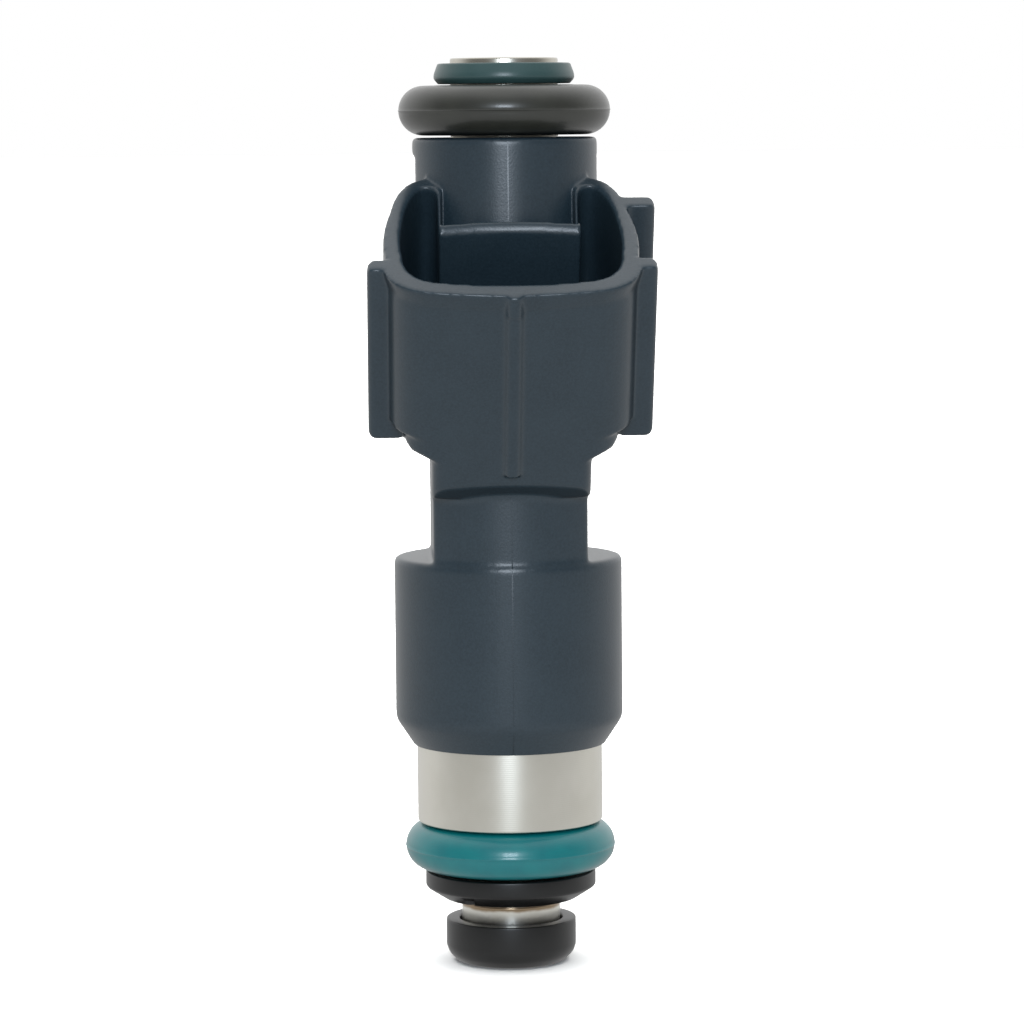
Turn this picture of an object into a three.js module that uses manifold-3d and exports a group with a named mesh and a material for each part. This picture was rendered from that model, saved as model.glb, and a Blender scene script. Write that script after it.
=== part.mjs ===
// Fuel injector: a solenoid valve for petrol port injection, moulded in plastic around a steel valve.
// Millimetres, +Z up. The injector's axis is the Z axis and z = 0 is the tip of the nozzle cap.
// The electrical connector faces -Y and leans up out of the body.
import * as THREE from "three";
import { mergeVertices } from "three/addons/utils/BufferGeometryUtils.js";
import Module from "manifold-3d";

const wasm = await Module();
wasm.setup();

// Facets round a full turn, for the large outer pieces and for the small inner ones.
const FINE = 48;
const COARSE = 32;

// Clearance that keeps two neighbouring pieces apart where one sits inside the other.
const FIT = 0.04;

// Heights of the outside, from the tip upwards.
const CAP_TOP = 3.05;
const RETAINER_BOTTOM = 4.5;
const RETAINER_TOP = 6.45;
const LOWER_SEAL_Z = 8.25;
const YOKE_BOTTOM = 9.95;
const PLASTIC_BOTTOM = 15.4;
const BEVEL_TOP = 17.2;
const CLIP_SLOT_BOTTOM = 28.45;
const CLIP_SLOT_TOP = 35.6;
const SHOULDER = 57.3;
const UPPER_SEAL_Z = 59.15;
const COLLAR_BOTTOM = 60.95;
const COLLAR_TOP = 62.35;
const INLET_TOP = 62.7;

// Radii of the outside.
const LOWER_BODY_R = 7.88;
const NECK_R = 7.7;
const UPPER_BODY_R = 6.35;
const YOKE_R = 6.43;
const TUBE_R = 3.7;
const VALVE_BODY_R = 3.85;
const NOZZLE_R = 3.42;
const CAP_R = 4.52;
const RETAINER_R = 5.93;
const COLLAR_R = 4.83;

// Both seals are O-rings of the standard injector size, 7.52 x 3.53 mm.
const SEAL_SECTION_R = 1.765;
const UPPER_SEAL_R = 5.525;
const LOWER_SEAL_SECTION_R = 1.68;
const LOWER_SEAL_R = 5.62;

// The clip slot's two flats, and the rounded stem that carries the connector above them.
const NECK_FLAT_X = 5.27;
const STEM_HALF_WIDTH = 5.38;

// The connector shroud, in its own leaning frame: across (x), back from its front face (y), and out of
// its mouth (z). Its front lip is the frame's origin.
const LEAN = THREE.MathUtils.degToRad(29);
const LIP_FORWARD = 16.6;
const LIP_Z = 47.3;
const SHROUD_LENGTH = 11.8;
const SOCKET_DEPTH = 9.5;
const FRONT_WALL = 1.1;

// Half of the shroud's section, outside and in the socket: how far back its front and its lobes lie, the
// half widths at the front corner, the bowed side and the lobe, and the latch gap between the lobes.
const OUTER_SECTION = {
  front: 0,
  cornerX: 5.4,
  sideX: 8.25,
  bowX: 8.85,
  lobeX: 8,
  tipX: 5.6,
  back: 14.8,
  gapX: 4.15,
  centreBack: 9.3,
};
const SOCKET_SECTION = {
  front: FRONT_WALL,
  cornerX: 5.2,
  sideX: 7.25,
  bowX: 7.55,
  lobeX: 7,
  tipX: 5.7,
  back: 13.9,
  gapX: 4.7,
  centreBack: 8.15,
};
const CORNER_END_BACK = 3.9;
const BOW_BACK = 7.2;
const LOBE_START_BACK = 10.7;
const LEDGE_ARCH = 0.4;
const LOBE_CORNER_PULL = 0.5;
const LOBE_TIP_ROUND = 1.2;

// Keying ribs on the shroud's sides.
const RIB_ROOT_X = 7.4;
const RIB_THICKNESS = 1.3;
const FRONT_RIB_TIP_X = 9.6;
const FRONT_RIB_BACK = 3.1;
const FRONT_RIB_LENGTH = 13.35;
const REAR_RIB_TIP_X = 9.9;
const REAR_RIB_BACK = 11.1;
const REAR_RIB_LENGTH = 11.5;

// The web under the shroud: its top inside the shroud, where it stops narrowing to the stem, and the
// edges of its underside.
const STEM_TOP_Z = 42;
const TAPER_TOP_Z = 37.2;
const TAPER_TOP_X = 7.2;
const TAPER_BOTTOM_Z = 35.65;
const STEM_EDGE_Z = 34.05;
const STEM_ROOT_Z = 33.05;

// Inside: lengths along the axis.
const VALVE_BODY_BOTTOM = 0.75;
const VALVE_BODY_TOP = 15.2;
const SLEEVE_TOP = 19.2;
const ARMATURE_BOTTOM = 13.2;
const ARMATURE_TOP = 19.85;
const POLE_BOTTOM = 20;
const POLE_TOP = 30.5;
const ADJUSTER_BOTTOM = 27.3;
const ADJUSTER_TOP = 33.4;
const SPRING_BOTTOM = 17.6;
const YOKE_TOP = 25.6;
const COVER_TOP = 27;
const BALL_Z = 3.95;
const BALL_R = 1.75;
const FILTER_FOOT_TOP = 50.6;
const FILTER_RING_BOTTOM = 58.6;

// Inside: radii that two neighbours share.
const CORE_BORE_R = VALVE_BODY_R + 0.06;
const ARMATURE_BORE_R = 3.2;
const COIL_INNER_R = 4.4;
const COIL_OUTER_R = 5.4;
const COIL_BOTTOM = 16.2;
const COIL_TOP = 24.35;
const SEAT_R = 2.56;
const DISC_R = 2.5;

// The two blades stand this far off the middle, and rise this far in front of the axis.
const TERMINAL_X = 2.6;
const TERMINAL_FORWARD = 4.7;

// Colour, roughness and metalness of each piece's material.
const LOOKS = {
  housing_overmould: [0x3a454e, 0.55, 0],
  terminal_left: [0xb9b6a8, 0.3, 1],
  terminal_right: [0xb9b6a8, 0.3, 1],
  inlet_tube: [0xc9c9c4, 0.28, 1],
  filter_frame: [0x8f8a74, 0.5, 0],
  filter_mesh: [0xc8c6b8, 0.45, 0],
  filter_ring: [0xb08d3e, 0.3, 1],
  upper_o_ring: [0x3f4240, 0.5, 0],
  upper_collar: [0x3f5862, 0.45, 0],
  adjusting_tube: [0xb5b4ae, 0.35, 1],
  return_spring: [0xa9a9a6, 0.3, 1],
  pole_core: [0xa7a8a5, 0.35, 1],
  armature: [0x9c9d9b, 0.35, 1],
  needle_tube: [0xb8b8b4, 0.3, 1],
  valve_ball: [0xd2d3d4, 0.08, 1],
  valve_seat: [0xb0b0ac, 0.25, 1],
  lower_guide: [0xb4b3ad, 0.35, 1],
  orifice_plate: [0xbdbcb6, 0.3, 1],
  valve_body: [0xb9b6a8, 0.3, 1],
  air_gap_sleeve: [0xbcb9ae, 0.35, 1],
  coil_bobbin: [0x2b2c2a, 0.5, 0],
  coil_winding: [0x8f4a1f, 0.35, 1],
  yoke_shell: [0xbfbdb6, 0.3, 1],
  yoke_cover: [0xa3a29c, 0.4, 1],
  lower_o_ring: [0x1f7f7b, 0.4, 0],
  lower_retainer: [0x2a2b2c, 0.4, 0],
  nozzle_cap: [0x27282a, 0.45, 0],
};

// ---- Shapes ----

// A ring turned about the axis. Its outline of [radius, height] points runs up the outside, in over the
// top, down the bore and back out, and closes on itself.
function ring(outline, facets = COARSE) {
  return turned([...outline, outline[0]], facets);
}

// A solid turned about the axis, with an outline that starts and ends on the axis, or a closed one.
function turned(outline, facets = COARSE) {
  const points = outline.map(([radius, height]) => new THREE.Vector2(radius, height));
  const geometry = new THREE.LatheGeometry(points, facets);
  geometry.rotateX(Math.PI / 2);
  return geometry;
}

// A plain tube between two heights.
function sleeve(outerR, innerR, bottom, top, facets = COARSE) {
  return ring([[outerR, bottom], [outerR, top], [innerR, top], [innerR, bottom]], facets);
}

// Points of an arc in an outline, with angles in degrees from the outward radius.
function arc(centreR, centreZ, radius, fromDegrees, toDegrees, steps) {
  const points = [];
  for (let i = 0; i <= steps; i++) {
    const angle = THREE.MathUtils.degToRad(fromDegrees + ((toDegrees - fromDegrees) * i) / steps);
    points.push([centreR + radius * Math.cos(angle), centreZ + radius * Math.sin(angle)]);
  }
  return points;
}

function oRing(ringR, sectionR, height) {
  return turned(arc(ringR, height, sectionR, -180, 180, 14), FINE);
}

function box(minX, maxX, minY, maxY, minZ, maxZ) {
  const geometry = new THREE.BoxGeometry(maxX - minX, maxY - minY, maxZ - minZ);
  geometry.translate((minX + maxX) / 2, (minY + maxY) / 2, (minZ + maxZ) / 2);
  return geometry;
}

function extruded(shape, bottom, top, curveSegments = 6) {
  const options = { depth: top - bottom, bevelEnabled: false, curveSegments };
  const geometry = new THREE.ExtrudeGeometry(shape, options);
  geometry.translate(0, 0, bottom);
  return geometry;
}

// ---- Booleans ----

function toSolid(geometry) {
  const plain = geometry.clone();
  plain.deleteAttribute("normal");
  plain.deleteAttribute("uv");
  const merged = mergeVertices(plain, 1e-4);
  const mesh = new wasm.Mesh({
    numProp: 3,
    vertProperties: new Float32Array(merged.attributes.position.array),
    triVerts: new Uint32Array(merged.index.array),
  });
  return new wasm.Manifold(mesh);
}

function toGeometry(solid) {
  const mesh = solid.getMesh();
  const geometry = new THREE.BufferGeometry();
  geometry.setAttribute("position", new THREE.BufferAttribute(new Float32Array(mesh.vertProperties), 3));
  geometry.setIndex(new THREE.BufferAttribute(new Uint32Array(mesh.triVerts), 1));
  return geometry;
}

// ---- Connector shroud ----

// Puts a geometry drawn in the shroud's leaning frame where the shroud is.
function leaning(geometry) {
  geometry.rotateX(LEAN);
  geometry.translate(0, -LIP_FORWARD, LIP_Z);
  return geometry;
}

// The shroud's section, drawn across (x) and back (y): straight front, bowed sides, and two rounded
// lobes at the back with a straight gap between them.
function shroudOutline(section) {
  const half = new THREE.Path();
  half.moveTo(0, section.front);
  half.lineTo(section.cornerX, section.front);
  half.quadraticCurveTo(section.sideX, section.front, section.sideX, CORNER_END_BACK);
  half.quadraticCurveTo(section.bowX, BOW_BACK, section.lobeX, LOBE_START_BACK);
  const cornerX = section.lobeX - LOBE_CORNER_PULL;
  const cornerBack = section.back - LOBE_CORNER_PULL;
  half.quadraticCurveTo(cornerX, cornerBack, section.tipX, section.back);
  half.quadraticCurveTo(section.gapX, section.back, section.gapX, section.back - LOBE_TIP_ROUND);
  half.lineTo(section.gapX, section.centreBack - LEDGE_ARCH);
  half.quadraticCurveTo(section.gapX / 2, section.centreBack, 0, section.centreBack);
  const right = half.getPoints(5);
  const left = right.slice(1, -1).reverse();
  const mirrored = left.map((point) => new THREE.Vector2(-point.x, point.y));
  return new THREE.Shape([...right, ...mirrored]);
}

function shroudBlock() {
  return leaning(extruded(shroudOutline(OUTER_SECTION), -SHROUD_LENGTH, 0));
}

function socketCore() {
  const pastLip = 1;
  return leaning(extruded(shroudOutline(SOCKET_SECTION), -SOCKET_DEPTH, pastLip));
}

// The web under the shroud: as wide as the shroud above, narrowing to a stem that meets the neck.
function stem() {
  const bottom = STEM_ROOT_Z - 0.5;
  const outline = new THREE.Shape();
  outline.moveTo(-STEM_HALF_WIDTH, bottom);
  outline.lineTo(STEM_HALF_WIDTH, bottom);
  outline.lineTo(STEM_HALF_WIDTH, TAPER_BOTTOM_Z);
  outline.lineTo(TAPER_TOP_X, TAPER_TOP_Z);
  outline.lineTo(TAPER_TOP_X, STEM_TOP_Z);
  outline.lineTo(-TAPER_TOP_X, STEM_TOP_Z);
  outline.lineTo(-TAPER_TOP_X, TAPER_TOP_Z);
  outline.lineTo(-STEM_HALF_WIDTH, TAPER_BOTTOM_Z);
  const web = extruded(outline, 0, LIP_FORWARD);
  web.rotateX(Math.PI / 2);
  return web;
}

// Everything behind the shroud's front face and above its underside, which trims the stem.
function stemLimits() {
  const faceAt = (height) => -LIP_FORWARD + Math.tan(LEAN) * (LIP_Z - height);
  const rootDepth = 0.5;
  const side = new THREE.Shape();
  side.moveTo(0, STEM_TOP_Z);
  side.lineTo(faceAt(STEM_TOP_Z), STEM_TOP_Z);
  side.lineTo(faceAt(STEM_EDGE_Z), STEM_EDGE_Z);
  side.lineTo(-NECK_R + rootDepth, STEM_ROOT_Z);
  side.lineTo(0, STEM_ROOT_Z);
  const limits = extruded(side, -LOWER_BODY_R, LOWER_BODY_R);
  limits.rotateY(Math.PI / 2);
  limits.rotateX(Math.PI / 2);
  return limits;
}

function keyRib(side, tipX, back, length) {
  const inner = side * RIB_ROOT_X;
  const tip = side * tipX;
  return leaning(box(Math.min(inner, tip), Math.max(inner, tip), back, back + RIB_THICKNESS, -length, 0));
}

function centreRib() {
  const proud = 0.3;
  const halfWidth = 0.5;
  const top = -0.9;
  const bottom = -SHROUD_LENGTH - 2;
  return leaning(box(-halfWidth, halfWidth, -proud, FRONT_WALL / 2, bottom, top));
}

function lipBead() {
  const proud = 0.3;
  const height = 0.85;
  const reach = OUTER_SECTION.cornerX;
  return leaning(box(-reach, reach, -proud, FRONT_WALL / 2, -height, -FIT));
}

// ---- Housing ----

function housingBody() {
  const bevelBottomR = 6.68;
  const edge = 0.2;
  return ring(
    [
      [bevelBottomR, PLASTIC_BOTTOM],
      [LOWER_BODY_R, BEVEL_TOP],
      [LOWER_BODY_R, CLIP_SLOT_BOTTOM - edge],
      [NECK_R, CLIP_SLOT_BOTTOM],
      [NECK_R, CLIP_SLOT_TOP],
      [UPPER_BODY_R, CLIP_SLOT_TOP],
      [UPPER_BODY_R, SHOULDER - edge],
      [UPPER_BODY_R - edge, SHOULDER],
      [TUBE_R + FIT, SHOULDER],
      [TUBE_R + FIT, POLE_TOP + FIT],
      [VALVE_BODY_R + FIT, POLE_TOP + FIT],
      [VALVE_BODY_R + FIT, COVER_TOP + FIT],
      [YOKE_R + FIT, COVER_TOP + FIT],
      [YOKE_R + FIT, PLASTIC_BOTTOM],
    ],
    FINE,
  );
}

// The cut that leaves one flat of the clip slot.
function clipSlot(side) {
  const near = side * NECK_FLAT_X;
  const far = side * (LOWER_BODY_R + 1);
  const reach = LOWER_BODY_R + 1;
  return box(Math.min(near, far), Math.max(near, far), -reach, reach, CLIP_SLOT_BOTTOM, CLIP_SLOT_TOP);
}

// The room that the inner pieces take inside the housing.
function innerRoom() {
  const radius = TUBE_R + FIT;
  const top = SHOULDER + 1;
  return turned([[0, COVER_TOP], [radius, COVER_TOP], [radius, top], [0, top]], FINE);
}

function housing() {
  let solid = toSolid(housingBody());
  for (const side of [-1, 1]) {
    solid = solid.subtract(toSolid(clipSlot(side)));
  }
  const web = toSolid(stem()).intersect(toSolid(stemLimits()));
  solid = solid.add(web);
  solid = solid.add(toSolid(shroudBlock()));
  for (const side of [-1, 1]) {
    solid = solid.add(toSolid(keyRib(side, FRONT_RIB_TIP_X, FRONT_RIB_BACK, FRONT_RIB_LENGTH)));
  }
  solid = solid.add(toSolid(keyRib(1, REAR_RIB_TIP_X, REAR_RIB_BACK, REAR_RIB_LENGTH)));
  solid = solid.add(toSolid(centreRib()));
  solid = solid.add(toSolid(lipBead()));
  solid = solid.subtract(toSolid(socketCore()));
  solid = solid.subtract(toSolid(innerRoom()));
  for (const side of [-1, 1]) {
    solid = solid.subtract(toSolid(terminal(side, FIT)));
  }
  return toGeometry(solid);
}

// ---- Terminals ----

// A flat strip that rises from the coil and leans out into the socket.
function terminal(side, clearance) {
  const halfWidth = 1.2 + clearance;
  const half = 0.32 + clearance;
  const bottom = YOKE_TOP + 2 * FIT - clearance;
  const bendZ = 35.3;
  const blade = 12.4 + clearance;
  const tipY = -TERMINAL_FORWARD - blade * Math.sin(LEAN);
  const tipZ = bendZ + blade * Math.cos(LEAN);
  const acrossY = half * Math.cos(LEAN);
  const acrossZ = half * Math.sin(LEAN);
  const mitre = half * Math.tan(LEAN / 2);
  const outline = new THREE.Shape();
  outline.moveTo(-TERMINAL_FORWARD - half, bottom);
  outline.lineTo(-TERMINAL_FORWARD + half, bottom);
  outline.lineTo(-TERMINAL_FORWARD + half, bendZ + mitre);
  outline.lineTo(tipY + acrossY, tipZ + acrossZ);
  outline.lineTo(tipY - acrossY, tipZ - acrossZ);
  outline.lineTo(-TERMINAL_FORWARD - half, bendZ - mitre);
  const strip = extruded(outline, side * TERMINAL_X - halfWidth, side * TERMINAL_X + halfWidth);
  strip.rotateY(Math.PI / 2);
  strip.rotateX(Math.PI / 2);
  return strip;
}

// ---- Fuel inlet ----

function inletTube() {
  const boreR = 3;
  const edge = 0.15;
  return ring(
    [
      [TUBE_R, POLE_TOP + 2 * FIT],
      [TUBE_R, INLET_TOP - edge],
      [TUBE_R - edge, INLET_TOP],
      [boreR + edge, INLET_TOP],
      [boreR, INLET_TOP - edge],
      [boreR, POLE_TOP + 2 * FIT],
    ],
    FINE,
  );
}

function upperCollar() {
  const edge = 0.3;
  return ring(
    [
      [COLLAR_R - edge, COLLAR_BOTTOM],
      [COLLAR_R, COLLAR_BOTTOM + edge],
      [COLLAR_R, COLLAR_TOP - edge],
      [COLLAR_R - edge, COLLAR_TOP],
      [TUBE_R + FIT, COLLAR_TOP],
      [TUBE_R + FIT, COLLAR_BOTTOM],
    ],
    FINE,
  );
}

// A basket: a top ring, a closed foot, and four legs between them.
function filterFrame() {
  const top = 60.2;
  const bottom = 49.6;
  const ringR = 2.5;
  const outerR = 2.35;
  const innerR = 1.85;
  const halfLeg = 0.3;
  const legs = 4;
  const upper = sleeve(ringR, innerR, FILTER_RING_BOTTOM, top);
  const foot = turned([[0, bottom], [outerR, bottom], [outerR, FILTER_FOOT_TOP], [0, FILTER_FOOT_TOP]]);
  let solid = toSolid(upper).add(toSolid(foot));
  const legBottom = FILTER_FOOT_TOP - halfLeg;
  const legTop = FILTER_RING_BOTTOM + halfLeg;
  for (let i = 0; i < legs; i++) {
    const leg = box(innerR, outerR - FIT, -halfLeg, halfLeg, legBottom, legTop);
    leg.rotateZ(((2 * i + 1) * Math.PI) / legs);
    solid = solid.add(toSolid(leg));
  }
  return toGeometry(solid);
}

// The gauze sleeve that stands inside the basket's legs.
function filterMesh() {
  const outerR = 1.78;
  const innerR = 1.62;
  const endGap = 0.05;
  return sleeve(outerR, innerR, FILTER_FOOT_TOP + endGap, FILTER_RING_BOTTOM - endGap);
}

// The ring pressed into the inlet round the basket's head, with a lip turned in over it.
function filterRing() {
  const outerR = 2.95;
  const basketR = 2.56;
  const lipR = 2.1;
  const bottom = 58.2;
  const lipBottom = 60.25;
  const top = 60.9;
  return ring([
    [outerR, bottom],
    [outerR, top],
    [lipR, top],
    [lipR, lipBottom],
    [basketR, lipBottom],
    [basketR, bottom],
  ]);
}

// ---- Magnetic circuit ----

function poleCore() {
  const boreR = 1.8;
  return sleeve(VALVE_BODY_R, boreR, POLE_BOTTOM, POLE_TOP, FINE);
}

function adjustingTube() {
  const outerR = 1.76;
  const boreR = 1;
  return sleeve(outerR, boreR, ADJUSTER_BOTTOM, ADJUSTER_TOP);
}

function armature() {
  const outerR = 3.1;
  const needleR = 1.12;
  const springR = 1.75;
  const coneDepth = 0.6;
  return ring([
    [outerR, ARMATURE_BOTTOM],
    [outerR, ARMATURE_TOP],
    [springR, ARMATURE_TOP],
    [springR, SPRING_BOTTOM - FIT],
    [needleR, SPRING_BOTTOM - coneDepth],
    [needleR, ARMATURE_BOTTOM],
  ]);
}

// The thin non-magnetic sleeve that bridges the air gap between the valve body and the pole.
function airGapSleeve() {
  return sleeve(VALVE_BODY_R, ARMATURE_BORE_R, VALVE_BODY_TOP + FIT, POLE_BOTTOM - FIT, FINE);
}

// A spool with two flanges, and a post on top that the terminals stand on.
function coilBobbin() {
  const flangeR = 5.55;
  const barrelR = COIL_INNER_R - 0.05;
  const bottom = 15.35;
  const top = 25.2;
  const flange = 0.8;
  const spool = ring(
    [
      [flangeR, bottom],
      [flangeR, bottom + flange],
      [barrelR, bottom + flange],
      [barrelR, top - flange],
      [flangeR, top - flange],
      [flangeR, top],
      [CORE_BORE_R, top],
      [CORE_BORE_R, bottom],
    ],
    FINE,
  );
  const postHalfWidth = 2.9;
  const postBackY = -4.15;
  const root = 0.2;
  const post = box(-postHalfWidth, postHalfWidth, -TERMINAL_FORWARD, postBackY, top - root, YOKE_TOP);
  return toGeometry(toSolid(spool).add(toSolid(post)));
}

function coilWinding() {
  return sleeve(COIL_OUTER_R, COIL_INNER_R, COIL_BOTTOM, COIL_TOP, FINE);
}

// The turned steel shell: a heavy ring below, seen as a bright band, and a thin wall round the coil.
function yokeShell() {
  const edge = 0.15;
  const coilR = 5.62;
  const floorZ = 15.3;
  return ring(
    [
      [YOKE_R - edge, YOKE_BOTTOM],
      [YOKE_R, YOKE_BOTTOM + edge],
      [YOKE_R, YOKE_TOP],
      [coilR, YOKE_TOP],
      [coilR, floorZ],
      [CORE_BORE_R, floorZ],
      [CORE_BORE_R, YOKE_BOTTOM],
    ],
    FINE,
  );
}

// The shell's lid, a washer with a gap at the front for the terminals.
function yokeCover() {
  const gapHalfWidth = 4.2;
  const gapBackY = -2.6;
  const past = 1;
  const washer = sleeve(YOKE_R, CORE_BORE_R, YOKE_TOP + FIT, COVER_TOP, FINE);
  const gap = box(-gapHalfWidth, gapHalfWidth, -YOKE_R - past, gapBackY, YOKE_TOP - past, COVER_TOP + past);
  return toGeometry(toSolid(washer).subtract(toSolid(gap)));
}

// ---- Valve ----

function valveBody() {
  const boreR = 2.6;
  const boreStep = 12.6;
  const boreCone = 0.6;
  const shoulder = 0.3;
  return ring(
    [
      [NOZZLE_R, VALVE_BODY_BOTTOM],
      [NOZZLE_R, RETAINER_TOP - shoulder],
      [VALVE_BODY_R, RETAINER_TOP],
      [VALVE_BODY_R, VALVE_BODY_TOP],
      [ARMATURE_BORE_R, VALVE_BODY_TOP],
      [ARMATURE_BORE_R, boreStep],
      [boreR, boreStep - boreCone],
      [boreR, VALVE_BODY_BOTTOM],
    ],
    FINE,
  );
}

function needleTube() {
  const outerR = 1.08;
  const boreR = 0.65;
  const springGap = 0.75;
  const ballGap = -0.12;
  return sleeve(outerR, boreR, BALL_Z + BALL_R + ballGap, SPRING_BOTTOM - springGap);
}

// The ball, with a small flat on top where the needle tube is welded to it.
function valveBall() {
  const lowest = -80;
  const flatEdge = 60;
  const outline = [[0, BALL_Z - BALL_R], ...arc(0, BALL_Z, BALL_R, lowest, flatEdge, 14)];
  const flatZ = outline[outline.length - 1][1];
  return turned([...outline, [0, flatZ]]);
}

// A cup with a cone at its foot, which the ball closes, and a guide bore round the ball.
function valveSeat() {
  const bottom = 1.5;
  const top = 5.3;
  const rimR = 2.1;
  const orificeR = 0.55;
  const coneBottom = 1.95;
  const coneTop = 3.35;
  const guideTop = 4.9;
  const guideR = BALL_R + 0.05;
  return ring([
    [SEAT_R, bottom],
    [SEAT_R, top],
    [rimR, top],
    [guideR, guideTop],
    [guideR, coneTop],
    [orificeR, coneBottom],
    [orificeR, bottom],
  ]);
}

// A thin disc with a circle of holes, and a bore in its middle if centreR is more than nothing.
function holedDisc({ holes, holeR, holeCircleR, centreR, bottom, top }) {
  const curveSegments = 8;
  const shape = new THREE.Shape();
  shape.absarc(0, 0, DISC_R, 0, 2 * Math.PI);
  for (let i = 0; i < holes; i++) {
    const angle = (2 * Math.PI * (i + 0.5)) / holes;
    const hole = new THREE.Path();
    hole.absarc(holeCircleR * Math.cos(angle), holeCircleR * Math.sin(angle), holeR, 0, 2 * Math.PI, true);
    shape.holes.push(hole);
  }
  if (centreR > 0) {
    const bore = new THREE.Path();
    bore.absarc(0, 0, centreR, 0, 2 * Math.PI, true);
    shape.holes.push(bore);
  }
  return extruded(shape, bottom, top, curveSegments);
}

// A disc that centres the needle tube, with holes that let the fuel through.
function lowerGuide() {
  return holedDisc({ holes: 6, holeR: 0.3, holeCircleR: 1.85, centreR: 1.2, bottom: 7.2, top: 7.8 });
}

// The thin plate under the seat whose four small holes meter the spray.
function orificePlate() {
  return holedDisc({ holes: 4, holeR: 0.13, holeCircleR: 0.33, centreR: 0, bottom: 1.2, top: 1.46 });
}

// A closed coil spring between the armature and the adjusting tube.
function returnSpring() {
  const coilR = 1.3;
  const wireR = 0.2;
  const turns = 8;
  const stepsPerTurn = 12;
  const endGap = 0.02;
  const bottom = SPRING_BOTTOM + wireR + endGap;
  const top = ADJUSTER_BOTTOM - wireR - endGap;
  const points = [];
  for (let i = 0; i <= turns * stepsPerTurn; i++) {
    const angle = (2 * Math.PI * i) / stepsPerTurn;
    const height = bottom + ((top - bottom) * i) / (turns * stepsPerTurn);
    points.push(new THREE.Vector3(coilR * Math.cos(angle), coilR * Math.sin(angle), height));
  }
  const path = new THREE.CatmullRomCurve3(points);
  const section = new THREE.Shape();
  section.absarc(0, 0, wireR, 0, 2 * Math.PI);
  return new THREE.ExtrudeGeometry(section, {
    steps: turns * stepsPerTurn,
    bevelEnabled: false,
    extrudePath: path,
    curveSegments: 3,
  });
}

// ---- Nozzle end ----

// The black snap ring under the lower seal, with a bevel below.
function lowerRetainer() {
  const bevelTop = 5.35;
  const bottomR = 4.6;
  const edge = 0.15;
  const shoulder = 0.45;
  return ring(
    [
      [bottomR, RETAINER_BOTTOM],
      [RETAINER_R, bevelTop],
      [RETAINER_R, RETAINER_TOP - edge],
      [RETAINER_R - edge, RETAINER_TOP],
      [VALVE_BODY_R + FIT, RETAINER_TOP],
      [NOZZLE_R + FIT, RETAINER_TOP - shoulder],
      [NOZZLE_R + FIT, RETAINER_BOTTOM],
    ],
    FINE,
  );
}

// The black cap that guards the tip, open below for the spray.
function nozzleCap() {
  const sprayR = 2.4;
  const sprayFlare = 0.2;
  const chamfer = 0.65;
  const edge = 0.1;
  const leadIn = 0.2;
  const leadInDepth = 0.6;
  const floorTop = VALVE_BODY_BOTTOM - FIT;
  return ring(
    [
      [CAP_R - chamfer, 0],
      [CAP_R, chamfer],
      [CAP_R, CAP_TOP - edge],
      [CAP_R - edge, CAP_TOP],
      [NOZZLE_R + leadIn, CAP_TOP],
      [NOZZLE_R + FIT, CAP_TOP - leadInDepth],
      [NOZZLE_R + FIT, floorTop],
      [sprayR - sprayFlare, floorTop],
      [sprayR, 0],
    ],
    FINE,
  );
}

// ---- Assembly ----

const SHAPES = {
  housing_overmould: housing(),
  terminal_left: terminal(-1, 0),
  terminal_right: terminal(1, 0),
  inlet_tube: inletTube(),
  filter_frame: filterFrame(),
  filter_mesh: filterMesh(),
  filter_ring: filterRing(),
  upper_o_ring: oRing(UPPER_SEAL_R, SEAL_SECTION_R, UPPER_SEAL_Z),
  upper_collar: upperCollar(),
  adjusting_tube: adjustingTube(),
  return_spring: returnSpring(),
  pole_core: poleCore(),
  armature: armature(),
  needle_tube: needleTube(),
  valve_ball: valveBall(),
  valve_seat: valveSeat(),
  lower_guide: lowerGuide(),
  orifice_plate: orificePlate(),
  valve_body: valveBody(),
  air_gap_sleeve: airGapSleeve(),
  coil_bobbin: coilBobbin(),
  coil_winding: coilWinding(),
  yoke_shell: yokeShell(),
  yoke_cover: yokeCover(),
  lower_o_ring: oRing(LOWER_SEAL_R, LOWER_SEAL_SECTION_R, LOWER_SEAL_Z),
  lower_retainer: lowerRetainer(),
  nozzle_cap: nozzleCap(),
};

const injector = new THREE.Group();
for (const [name, geometry] of Object.entries(SHAPES)) {
  const [color, roughness, metalness] = LOOKS[name];
  const mesh = new THREE.Mesh(geometry, new THREE.MeshStandardMaterial({ color, roughness, metalness }));
  mesh.name = name;
  injector.add(mesh);
}

export default injector;
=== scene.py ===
"""Looks of a port fuel injector: a plastic-moulded solenoid valve that stands on its nozzle.

Shapes are made in millimetres, +Z up along the injector's axis with the connector facing -Y, and are
scaled to metres when they become pieces.
"""
import math

import bmesh
import bpy
from mathutils import Matrix, Vector
from mathutils.geometry import interpolate_bezier

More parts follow.
